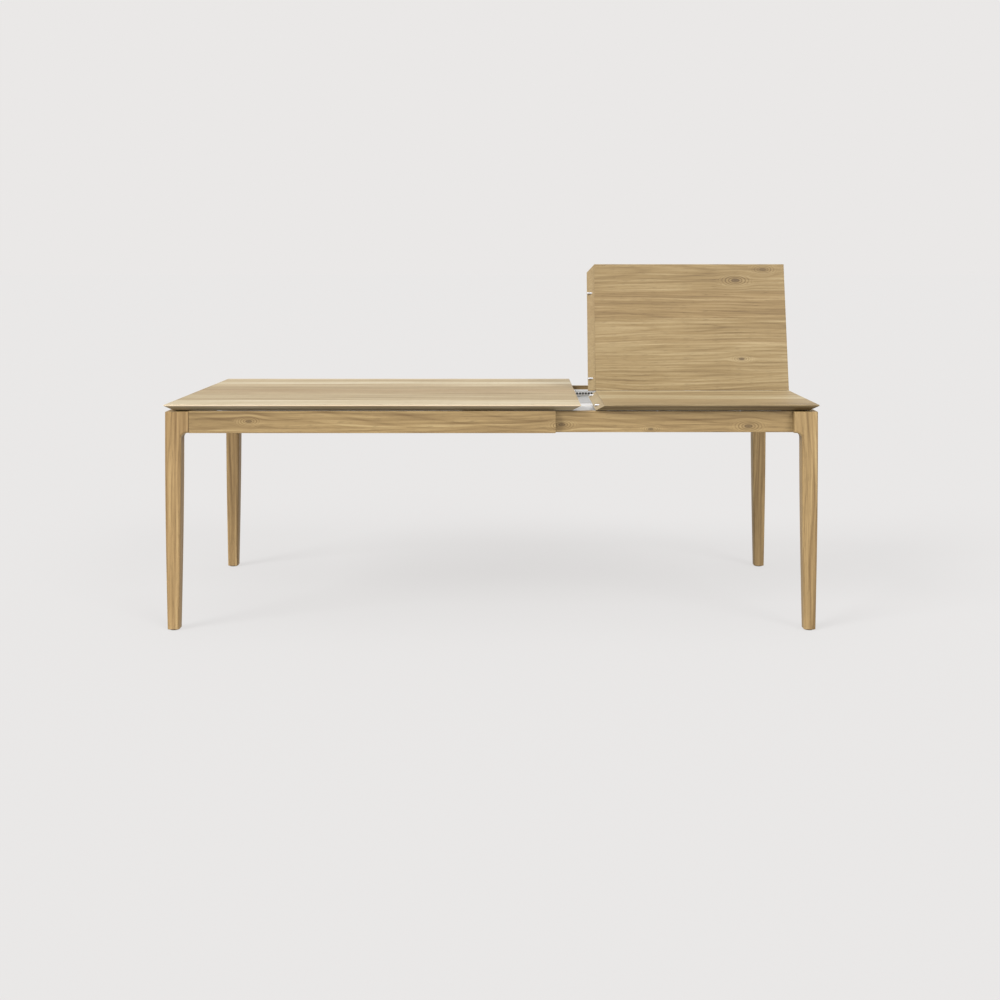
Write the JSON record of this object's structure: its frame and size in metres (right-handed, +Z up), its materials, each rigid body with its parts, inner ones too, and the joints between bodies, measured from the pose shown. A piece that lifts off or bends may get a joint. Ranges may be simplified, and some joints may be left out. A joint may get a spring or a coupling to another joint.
{
  "type": "extendable dining table",
  "caption": "Long dining table with tapered legs and undercut edges, whose end frame slides out on telescopic slides to make room for a leaf that unfolds like a book.",
  "frame": {"origin": "on the floor, under the middle of the table's outline as it stands pulled out", "axes": "+X from the main top to the leaf, +Y to the rear, +Z up"},
  "size_m": [2.2, 0.96, 1.2306],
  "materials": {
    "oak_top": "oiled solid oak, staves glued side by side",
    "oak_leaf": "oiled solid oak",
    "oak_frame": "oiled solid oak",
    "aluminium": "anodised extrusion",
    "steel": "zinc plated",
    "nylon": "moulded white nylon",
    "black_plastic": "moulded black plastic"
  },
  "bodies": {
    "main_frame": {"main_top": "oak_top", "leg_front_left": "oak_frame", "leg_rear_left": "oak_frame", "apron_front_outer": "oak_frame", "apron_rear_outer": "oak_frame", "apron_left_end": "oak_frame", "corner_brace_front_left": "steel", "corner_brace_rear_left": "steel", "brace_bolt_front_left": "steel", "brace_bolt_rear_left": "steel", "foot_glide_front_left": "black_plastic", "foot_glide_rear_left": "black_plastic", "slide_outer_front": "aluminium", "slide_outer_rear": "aluminium", "socket_bush_front_inner": "nylon", "socket_bush_front_outer": "nylon", "socket_bush_rear_inner": "nylon", "socket_bush_rear_outer": "nylon"},
    "slide_middle_front": {"slide_middle_front": "aluminium"},
    "slide_middle_rear": {"slide_middle_rear": "aluminium"},
    "extension_frame": {"leg_front_right": "oak_frame", "leg_rear_right": "oak_frame", "apron_front_inner": "oak_frame", "apron_rear_inner": "oak_frame", "apron_right_end": "oak_frame", "corner_brace_front_right": "steel", "corner_brace_rear_right": "steel", "brace_bolt_front_right": "steel", "brace_bolt_rear_right": "steel", "foot_glide_front_right": "black_plastic", "foot_glide_rear_right": "black_plastic", "tie_rail": "oak_frame", "cross_rail_middle": "oak_frame", "cross_rail_end": "oak_frame", "slide_inner_front": "aluminium", "slide_inner_rear": "aluminium", "slide_block_front_middle": "aluminium", "slide_block_front_end": "aluminium", "slide_block_rear_middle": "aluminium", "slide_block_rear_end": "aluminium", "leaf_pad_front": "nylon", "leaf_pad_rear": "nylon", "leaf_pad_end": "nylon", "leaf_dowel_left": "steel", "leaf_dowel_right": "steel", "leaf_front": "oak_leaf", "hinge_plate_front_1": "steel", "hinge_plate_front_2": "steel", "hinge_plate_front_3": "steel", "alignment_pin_front_inner": "steel", "alignment_pin_front_outer": "steel"},
    "leaf_rear_half": {"leaf_rear": "oak_leaf", "hinge_plate_rear_1": "steel", "hinge_plate_rear_2": "steel", "hinge_plate_rear_3": "steel", "alignment_pin_rear_inner": "steel", "alignment_pin_rear_outer": "steel"},
    "hinge_links": {"hinge_link_1": "steel", "hinge_link_2": "steel", "hinge_link_3": "steel"}
  },
  "joints": [
    {"name": "extension_slide", "type": "slide", "parent": "main_frame", "child": "extension_frame", "axis": [1, 0, 0], "range_m": [-0.05, 0]},
    {"name": "slide_middle_front", "type": "slide", "parent": "main_frame", "child": "slide_middle_front", "axis": [1, 0, 0], "range_m": [-0.025, 0]},
    {"name": "slide_middle_rear", "type": "slide", "parent": "main_frame", "child": "slide_middle_rear", "axis": [1, 0, 0], "range_m": [-0.025, 0]},
    {"name": "leaf_fold", "type": "hinge", "parent": "extension_frame", "child": "leaf_rear_half", "pos_m": [0.7395, 0, 0.7603], "axis": [-1, 0, 0], "range_deg": [-101.5, 78.5]},
    {"name": "hinge_link_turn", "type": "hinge", "parent": "extension_frame", "child": "hinge_links", "pos_m": [0.7395, 0, 0.7603], "axis": [-1, 0, 0], "range_deg": [-50.75, 39.25]}
  ],
  "couplings": [
    {"joint": "slide_middle_front", "follows": "extension_slide", "ratio": 0.5},
    {"joint": "slide_middle_rear", "follows": "extension_slide", "ratio": 0.5},
    {"joint": "hinge_link_turn", "follows": "leaf_fold", "ratio": 0.5}
  ]
}
